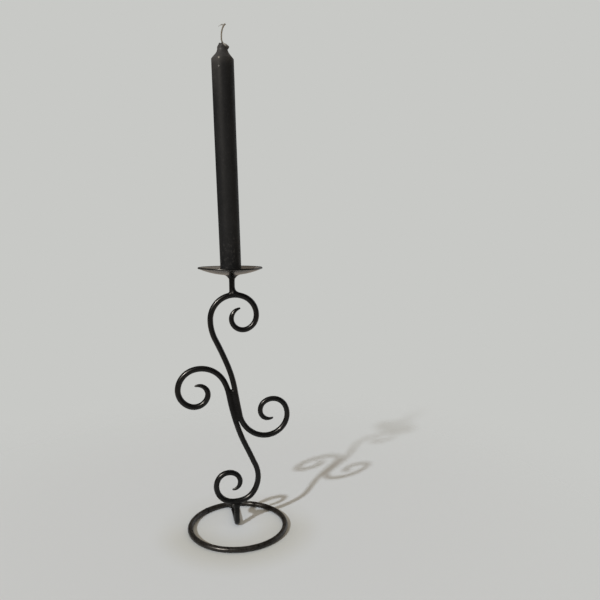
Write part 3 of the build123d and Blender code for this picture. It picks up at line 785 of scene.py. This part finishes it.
def pan():
    hole = 1.8
    ri = PAN_BALL - PAN_T
    prof = []
    edge = PAN_RIM_R - 0.02
    for r in np.linspace(hole, edge - 0.8, 46):
        prof.append((r, BALL_Z - math.sqrt(ri ** 2 - r ** 2)))
    # blunt edge with rounded corners, slightly thickened
    zc = BALL_Z - math.sqrt((PAN_BALL - PAN_T / 2) ** 2 - (edge - 0.72) ** 2)
    tilt = math.asin((edge - 0.72) / PAN_BALL)
    for t in np.linspace(math.radians(98), math.radians(-82), 33):
        rr, c, s_ = 0.82, math.cos(t), math.sin(t)
        c, s_ = math.copysign(abs(c) ** 0.5, c), math.copysign(abs(s_) ** 0.62, s_)
        u, w = rr * (c * 0.96), rr * s_
        prof.append((edge - 0.84 + u * math.cos(0.3 * tilt) - w * math.sin(0.3 * tilt), zc - 0.08 + u * math.sin(0.3 * tilt) + w * math.cos(0.3 * tilt)))
    for r in np.linspace(edge - 0.8, hole, 46):
        prof.append((r, BALL_Z - math.sqrt(PAN_BALL ** 2 - r ** 2)))
    prof = prof[::-1]
    V, F = lathe(prof, PAN_X, PLANE_Y, 160)
    rad = np.hypot(V[:, 0] - PAN_X, V[:, 1] - PLANE_Y)
    az = np.arctan2(V[:, 1] - PLANE_Y, V[:, 0] - PAN_X)
    w = smooth(14, 34, rad)
    V[:, 2] += w * (0.10 * np.sin(2 * az + 0.6) + 0.05 * np.sin(5 * az + 2.0)) + 0.05 * w * noise(np.stack([V[:, 0], V[:, 1], 0 * az], 1), 9.0, 81)
    # faint rings left by the press
    V[:, 2] += 0.012 * np.sin(rad * 2 * math.pi / 2.4) * smooth(12, 16, rad) * (1 - smooth(31, 33, rad))
    return make("drip_pan_dish", V, F)


piece(pan(), "drip_pan", "stand", PANM)


# --------------------------------------------------------------- the spike
def spike():
    tip = PAN_LOW + PAN_T + SPIKE_UP
    prof = [(0.01, PAN_LOW - 1.2), (3.2, PAN_LOW - 1.15), (3.5, PAN_LOW - 0.9), (3.5, PAN_LOW - 0.3), (3.2, PAN_LOW - 0.05), (SPIKE_R + 0.15, PAN_LOW)]
    for z in np.linspace(PAN_LOW + 0.2, tip - SPIKE_POINT, 40):
        prof.append((SPIKE_R - 0.01, z))
    for t in np.linspace(0, 1, 22)[1:]:
        prof.append((SPIKE_R * (1 - t) ** 0.92 + 0.16 * t, tip - SPIKE_POINT + (SPIKE_POINT - 0.1) * t))
    prof.append((0.01, tip))
    V, F = lathe(prof, SPIKE_X, PLANE_Y, 32, closed=False)
    k = V[:, 2] > PAN_LOW
    d = np.stack([V[:, 0] - SPIKE_X, V[:, 1] - PLANE_Y, 0 * V[:, 0]], 1)
    V[k] -= d[k] * (0.03 * (1 + noise(V[k], 1.6, 91)))[:, None]
    return make("candle_spike_nail", V, F)


piece(spike(), "candle_spike", "stand", STEEL)

# -------------------------------------------------------------- the candle
PROFILE = np.array([
    (296.04, 10.80), (296.10, 11.02), (296.35, 11.20), (296.9, 11.27), (511.3, 11.52), (511.8, 11.46), (512.3, 11.15),
    (513.4, 10.20), (514.6, 9.15), (516.0, 7.90), (517.3, 6.85), (518.5, 6.18), (519.8, 5.75), (520.8, 5.45), (521.7, 5.38),
    (522.9, 5.48), (523.8, 5.52), (524.8, 5.42), (526.0, 5.2), (530.0, 5.0)])


def broken(p, q, w):
    """Height of the broken slope beside the wick, facing right and front."""
    h = 526.95 - 0.66 * (q - 3.4) - 0.52 * (w + 1.0) + 0.30 * noise(p, 1.6, 105)
    return h + 6.0 * (1 - smooth(0.4, 1.3, q))


def wax_field(p):
    ax, ay = axis_xy(p[:, 2])
    dx, dy = p[:, 0] - ax, p[:, 1] - ay
    z = p[:, 2]
    # the neck stands a little to the right
    off = 0.30 * smooth(513.5, 518.0, z)
    q, w = dx * QX + dy * QY - off, dx * WX + dy * WY
    rho = np.hypot(q, w)
    R = np.interp(z, PROFILE[:, 0], PROFILE[:, 1])
    lip = smooth(520.9, 523.0, z)
    # the lip sags out at the right and is drawn in at the left
    R = R + lip * 1.42 * smooth(1.0, 5.5, q) * (1 - smooth(524.8, 526.4, z))
    R = R - 1.75 * smooth(521.5, 527.2, z) * smooth(0.5, 3.5, -q)
    R = R + lip * 0.22 * noise(p, 2.2, 101) + 0.10 * smooth(512.5, 515, z) * noise(p, 3.2, 102)
    R = R - 0.05 * (1 + noise(p * np.array([1, 1, 0.3]), 7.0, 103)) * smooth(297, 299, z)
    side = (rho - R) * 0.9
    # the top: a tip at the left, a notch by the wick, a broken slope at the right
    H = 526.35 + 0.55 * smooth(1.5, 2.4, -q)
    H = H - 2.1 * np.exp(-((q + 1.05) / 0.72) ** 2)
    H = H + 0.60 * smooth(0.0, 1.2, q)
    H = H + 0.18 * noise(p * np.array([1, 1, 0.0]), 1.7, 104)
    slope = broken(p, q, w)
    top = np.maximum(z - H, (z - slope) * 0.72)
    # smooth intersection of the side with the top
    k = 0.6
    h = np.clip(0.5 - 0.5 * (top - side) / k, 0, 1)
    return top * (1 - h) + side * h + k * h * (1 - h)


def slope_mask(p):
    ax, ay = axis_xy(p[:, 2])
    dx, dy = p[:, 0] - ax, p[:, 1] - ay
    q, w = dx * QX + dy * QY, dx * WX + dy * WY
    slope = broken(p, q - 0.3, w)
    return smooth(-0.65, -0.15, p[:, 2] - slope) * (1 - 0.62 * smooth(3.6, 5.4, q))


def candle():
    nseg = 144
    zs = np.concatenate([[296.04], np.array([296.07, 296.12, 296.2, 296.35, 296.6, 296.9, 297.4, 298.2]),
                         np.linspace(299, 508, 150), np.arange(508.6, 527.4, 0.27)])
    th = np.arange(nseg) / nseg * 2 * math.pi
    rows = []
    for z in zs:
        ax, ay = axis_xy(z)
        R = np.interp(z, PROFILE[:, 0], PROFILE[:, 1])
        rows.append(np.stack([ax + R * np.cos(th), ay + R * np.sin(th), np.full(nseg, z)], 1))
    side_n = len(rows)
    # the top, ring by ring towards the wick
    for t in np.linspace(0, 1, 22)[1:]:
        z = 526.6
        ax, ay = axis_xy(z)
        R = 5.0 * (1 - t) + 0.05
        rows.append(np.stack([ax + R * np.cos(th), ay + R * np.sin(th), np.full(nseg, z)], 1))
    V = np.vstack(rows)
    up = np.repeat(np.arange(len(rows)) > 8, nseg)
    hi = V[:, 2] > 507.9
    lowpart = up & ~hi
    # the plain shaft: only its radius changes
    P = V[lowpart]
    ax, ay = axis_xy(P[:, 2])
    d = np.stack([P[:, 0] - ax, P[:, 1] - ay, 0 * ax], 1)
    u = d / np.linalg.norm(d, axis=1)[:, None]
    V[lowpart] = P - u * (wax_field(P) / 0.9)[:, None]
    # the moulded top is drawn onto its field
    P = V[hi]
    for i in range(14):
        h = 0.03
        f0 = wax_field(P)
        g = np.stack([(wax_field(P + np.eye(3)[k] * h) - wax_field(P - np.eye(3)[k] * h)) / (2 * h) for k in range(3)], 1)
        g2 = np.maximum((g ** 2).sum(1), 0.15)
        stepv = -(f0 / g2)[:, None] * g
        ln = np.linalg.norm(stepv, axis=1)
        P = P + stepv * np.minimum(1, 0.35 / np.maximum(ln, 1e-9))[:, None]
    V[hi] = P
    n = len(rows)
    idx = np.arange(n * nseg).reshape(n, nseg)
    a, b = idx[:-1], idx[1:]
    F = np.stack([a, np.roll(a, -1, 1), np.roll(b, -1, 1), b], -1).reshape(-1, 4).tolist()
    # the foot, with the hole of the spike going up inside
    bore = []
    tip = PAN_LOW + PAN_T + SPIKE_UP
    for r, z in [(6.0, 296.04), (SPIKE_R + 0.35, 296.06), (SPIKE_R + 0.1, 296.4), (SPIKE_R + 0.1, tip - SPIKE_POINT), (0.8, tip + 0.6), (0.05, tip + 1.0)]:
        bore.append(np.stack([SPIKE_X + r * np.cos(th), PLANE_Y + r * np.sin(th), np.full(nseg, z)], 1))
    k0 = len(V)
    V = np.vstack([V] + bore)
    ring = [idx[0]] + [np.arange(nseg) + k0 + i * nseg for i in range(len(bore))]
    for a, b in zip(ring[:-1], ring[1:]):
        for j in range(nseg):
            j2 = (j + 1) % nseg
            F.append((int(a[j2]), int(a[j]), int(b[j]), int(b[j2])))
    F.append(tuple(int(i) for i in ring[-1][::-1]))
    F.append(tuple(int(i) for i in idx[-1]))
    ob = make("candle_body", V, F)
    att = ob.data.attributes.new("broken", "FLOAT", "POINT")
    m = slope_mask(V) * (V[:, 2] > 519)
    att.data.foreach_set("value", m.astype(np.float32))
    return ob


piece(candle(), "candle", "candle", WAX)


# ---------------------------------------------------------------- the wick
def catmull(pts, n):
    pts = np.array(pts, float)
    pts = np.vstack([2 * pts[0] - pts[1], pts, 2 * pts[-1] - pts[-2]])
    out = []
    for i in range(1, len(pts) - 2):
        p0, p1, p2, p3 = pts[i - 1:i + 3]
        for t in np.linspace(0, 1, n, endpoint=False):
            out.append(0.5 * ((2 * p1) + (-p0 + p2) * t + (2 * p0 - 5 * p1 + 4 * p2 - p3) * t ** 2 + (-p0 + 3 * p1 - 3 * p2 + p3) * t ** 3))
    out.append(pts[-2])
    return np.array(out)


def frames(P):
    T = np.gradient(P, axis=0)
    T /= np.linalg.norm(T, axis=1)[:, None]
    A = np.zeros_like(P)
    a = np.array([0.3, 1.0, 0.1])
    for i in range(len(P)):
        a = a - T[i] * a.dot(T[i])
        a /= np.linalg.norm(a)
        A[i] = a
    return T, A, np.cross(T, A)


def strand(C, T, A, B, turn, pitch, off, rad, nseg, fade=None, seed=0):
    s = np.concatenate([[0], np.cumsum(np.linalg.norm(np.diff(C, axis=0), axis=1))])
    ph = turn + 2 * math.pi * s / pitch
    o = off * np.ones(len(C)) if fade is None else off * fade
    P = C + o[:, None] * (np.cos(ph)[:, None] * A + np.sin(ph)[:, None] * B)
    t2, a2, b2 = frames(P)
    R = rad * (1 + 0.16 * noise(P + seed * 7.3, 1.1, 7 + seed))
    R[-1] *= 0.3
    R[-2] *= 0.65
    return tube(P, a2, b2, R, nseg)


def wick():
    ax, ay = axis_xy(525.0)
    z0 = PAN_LOW + PAN_T + SPIKE_UP + 1.0
    bx, by = axis_xy(z0)
    inner = [(bx, by, z0), (bx * 0.5 + ax * 0.5, by * 0.5 + ay * 0.5, (z0 + 525) / 2)]
    free = [(-6.5, ay, 522.6), (-6.15, ay, 524.6), (-5.76, ay, 526.3), (-5.80, ay, 527.4), (-6.42, ay, 528.5), (-6.93, ay, 530.3), (-7.05, ay, 533.3),
            (-6.84, ay, 536.3), (-6.33, ay, 539.0), (-5.5, ay, 541.5), (-4.55, ay, 543.3), (-3.62, ay, 544.6), (-2.9, ay, 545.3)]
    free = [np.array(p) for p in free]
    C = catmull(free, 12)
    T, A, B = frames(C)
    parts = []
    n = len(C)
    t = np.linspace(0, 1, n)
    spread = 1 + 0.45 * smooth(0.86, 1.0, t)
    for k in range(3):
        parts.append(strand(C, T, A, B, 2 * math.pi * k / 3, 4.3, 0.37, 0.44, 10, spread, k))
    # frayed threads at the tip
    rays = [
        (0.30, [(-4.35, 0, 543.7), (-5.2, -0.25, 544.45), (-6.3, -0.5, 544.65), (-7.35, -0.6, 543.95), (-8.6, -0.6, 543.0), (-10.0, -0.5, 542.35)]),
        (0.26, [(-4.9, 0, 542.8), (-5.5, 0.3, 543.9), (-6.5, 0.4, 544.1), (-7.5, 0.4, 543.5)]),
        (0.20, [(-3.9, 0, 544.3), (-3.2, 0.2, 545.2), (-2.5, 0.3, 545.55)]),
    ]
    for rad, ray in rays:
        c = catmull([np.array([x, ay + dy, z]) for x, dy, z in ray], 7)
        _, a2, b2 = frames(c)
        R = np.interp(np.linspace(0, 1, len(c)), [0, 0.5, 1], [rad, rad * 0.85, rad * 0.4])
        parts.append(tube(c, a2, b2, R, 7))
    # inside the wax: one plain cord
    ci = catmull([np.array(inner[0]), np.array(inner[1]), np.array([-6.5, ay, 522.7])], 30)
    _, a2, b2 = frames(ci)
    parts.append(tube(ci, a2, b2, np.full(len(ci), 0.6), 12))
    V, F = join_parts(parts)
    ob = make("wick_cord", V, F)
    # painted shade: dark in the grooves between the strands
    d = np.full(len(V), 9.0)
    for i in range(0, len(C), 1):
        d = np.minimum(d, np.linalg.norm(V - C[i], axis=1))
    g = 1 - smooth(0.36, 0.66, d)
    att = ob.data.attributes.new("painted_groove_shade", "FLOAT", "POINT")
    att.data.foreach_set("value", (0.75 * g).astype(np.float32))
    return ob


piece(wick(), "wick", "candle", COTTON)

# ------------------------------------------------- floor, light and camera
me = bpy.data.meshes.new("floor")
ring_r = [0.0, 0.15, 0.3, 0.5, 0.8, 1.2, 1.8, 2.6]
fv, ff = [(0, 0, 0)], []
for r in ring_r[1:]:
    for j in range(64):
        t = j / 64 * 2 * math.pi
        fv.append((r * math.cos(t), r * math.sin(t), 0))
for j in range(64):
    ff.append((0, 1 + j, 1 + (j + 1) % 64))
for i in range(len(ring_r) - 2):
    for j in range(64):
        a, b = 1 + i * 64 + j, 1 + i * 64 + (j + 1) % 64
        ff.append((a, a + 64, b + 64, b))
me.from_pydata(fv, [], ff)
floor = bpy.data.objects.new("floor", me)
bpy.context.scene.collection.objects.link(floor)
m = Nodes("pale_floor")
m.bsdf.inputs["Roughness"].default_value = 0.8
m.bsdf.inputs["Specular IOR Level"].default_value = 0.2
m.link(m.bump(m.noise(400.0, 3.0), 0.00005), m.bsdf.inputs["Normal"])
sep = m.new("ShaderNodeSeparateXYZ")
m.link(m.co, sep.inputs[0])
rr = m.math("SQRT", m.math("ADD", m.math("MULTIPLY", sep.outputs[0], sep.outputs[0]), m.math("MULTIPLY", sep.outputs[1], sep.outputs[1])))
# painted shade: the floor is a little duller and warmer close round the ring, most in front, standing in for the ring's
# contact shade
ring_painted_floor_shade = m.ramp(m.math("ABSOLUTE", m.math("SUBTRACT", rr, RING_R * 0.001)), 0.003, 0.050, 1.0, 0.0)
ring_painted_floor_shade = m.math("MULTIPLY", ring_painted_floor_shade, m.ramp(sep.outputs[1], -0.025, 0.035, 1.0, 0.35))
m.link(m.mix(ring_painted_floor_shade, rgb(0.780, 0.780, 0.765), rgb(0.690, 0.674, 0.618)), m.bsdf.inputs["Base Color"])
clear = m.new("ShaderNodeBsdfTransparent")
mixs = m.new("ShaderNodeMixShader")
m.link(m.ramp(rr, 0.16, 0.62), mixs.inputs[0])
m.link(m.bsdf.outputs[0], mixs.inputs[1])
m.link(clear.outputs[0], mixs.inputs[2])
m.link(mixs.outputs[0], m.out.inputs[0])
me.materials.append(m.mat)

world = bpy.data.worlds.new("studio")
bpy.context.scene.world = world
world.use_nodes = True
wt = world.node_tree
for n in list(wt.nodes):
    wt.nodes.remove(n)
wo = wt.nodes.new("ShaderNodeOutputWorld")


def backing(colour, strength):
    n = wt.nodes.new("ShaderNodeBackground")
    n.inputs["Color"].default_value = (*colour, 1)
    n.inputs["Strength"].default_value = strength
    return n


paper = backing((0.578, 0.584, 0.565), 1.0)
soft = backing((1.0, 0.92, 0.80), 0.396)
# what gloss sees: pale below and behind, paler at the right, dim above and in front
glo = backing((0.97, 0.985, 1.0), 0.12)
glow = backing((1.0, 0.87, 0.73), 0.12)
tc = wt.nodes.new("ShaderNodeTexCoord")


def toward(x, y, z, a, b):
    dot = wt.nodes.new("ShaderNodeVectorMath")
    dot.operation = "DOT_PRODUCT"
    dot.inputs[1].default_value = Vector((x, y, z)).normalized()
    wt.links.new(tc.outputs["Generated"], dot.inputs[0])
    r = wt.nodes.new("ShaderNodeMapRange")
    r.interpolation_type = "SMOOTHSTEP"
    r.inputs["From Min"].default_value = a
    r.inputs["From Max"].default_value = b
    wt.links.new(dot.outputs["Value"], r.inputs["Value"])
    return r.outputs[0]


def wsum(op, a, b):
    n = wt.nodes.new("ShaderNodeMath")
    n.operation = op
    for sock, v in zip(n.inputs, (a, b)):
        if hasattr(v, "links"):
            wt.links.new(v, sock)
        else:
            sock.default_value = v
    return n.outputs[0]


below = wsum("MULTIPLY", toward(0, 0, -1, 0.02, 0.16), 0.46)
behind = wsum("MULTIPLY", toward(0.18, 0.78, 0.60, 0.87, 0.965), 0.46)
right_side = wsum("MULTIPLY", toward(0.89, 0.42, 0.12, 0.70, 0.97), 0.74)
wt.links.new(wsum("ADD", right_side, 0.045), glo.inputs["Strength"])
wt.links.new(wsum("ADD", below, behind), glow.inputs["Strength"])
both = wt.nodes.new("ShaderNodeAddShader")
wt.links.new(glo.outputs[0], both.inputs[0])
wt.links.new(glow.outputs[0], both.inputs[1])
lp = wt.nodes.new("ShaderNodeLightPath")
mx1, mx2 = wt.nodes.new("ShaderNodeMixShader"), wt.nodes.new("ShaderNodeMixShader")
wt.links.new(lp.outputs["Is Glossy Ray"], mx1.inputs[0])
wt.links.new(soft.outputs[0], mx1.inputs[1])
wt.links.new(both.outputs[0], mx1.inputs[2])
wt.links.new(lp.outputs["Is Camera Ray"], mx2.inputs[0])
wt.links.new(mx1.outputs[0], mx2.inputs[1])
wt.links.new(paper.outputs[0], mx2.inputs[2])
wt.links.new(mx2.outputs[0], wo.inputs[0])

# the key, from the left in front; gloss shows it as a warmer gleam
for nm, power, colour, diffuse, key_dir, wide in (
        ("key", 2.19, (0.811, 0.894, 1.0), True, Vector((-0.590, -0.574, 0.568)).normalized(), 2.4),
        ("gleam", 4.2, (1.0, 0.93, 0.83), False, Vector((-0.618, -0.562, 0.550)).normalized(), 4.0)):
    key = bpy.data.lights.new(nm, "SUN")
    key.energy = power
    key.angle = math.radians(wide)
    key.color = colour
    key_ob = bpy.data.objects.new(nm, key)
    bpy.context.scene.collection.objects.link(key_ob)
    key_ob.location = key_dir * 2
    key_ob.rotation_mode = "QUATERNION"
    key_ob.rotation_quaternion = key_dir.to_track_quat("Z", "Y")
    key_ob.visible_diffuse = diffuse
    key_ob.visible_glossy = not diffuse

cam_data = bpy.data.cameras.new("camera")
cam = bpy.data.objects.new("camera", cam_data)
bpy.context.scene.collection.objects.link(cam)
pitch, roll = math.radians(10.31), math.radians(0.06)
fwd = Vector((0.19937 * math.cos(pitch), 0.97992 * math.cos(pitch), -math.sin(pitch)))
right = Vector((0.97992, -0.19937, 0.0))
upv = right.cross(fwd)
right, upv = (right * math.cos(roll) + upv * math.sin(roll)), (upv * math.cos(roll) - right * math.sin(roll))
cam.matrix_world = Matrix(((right.x, upv.x, -fwd.x, -0.0543), (right.y, upv.y, -fwd.y, -0.6283),
                           (right.z, upv.z, -fwd.z, 0.3364), (0, 0, 0, 1)))
cam_data.sensor_width = 36.0
cam_data.lens = 578.36 / 600 * 36.0
cam_data.shift_y = 40.24 / 600
cam_data.clip_start, cam_data.clip_end = 0.01, 20.0
bpy.context.scene.camera = cam

bpy.context.scene.view_settings.view_transform = "Standard"
bpy.context.scene.view_settings.look = "None"
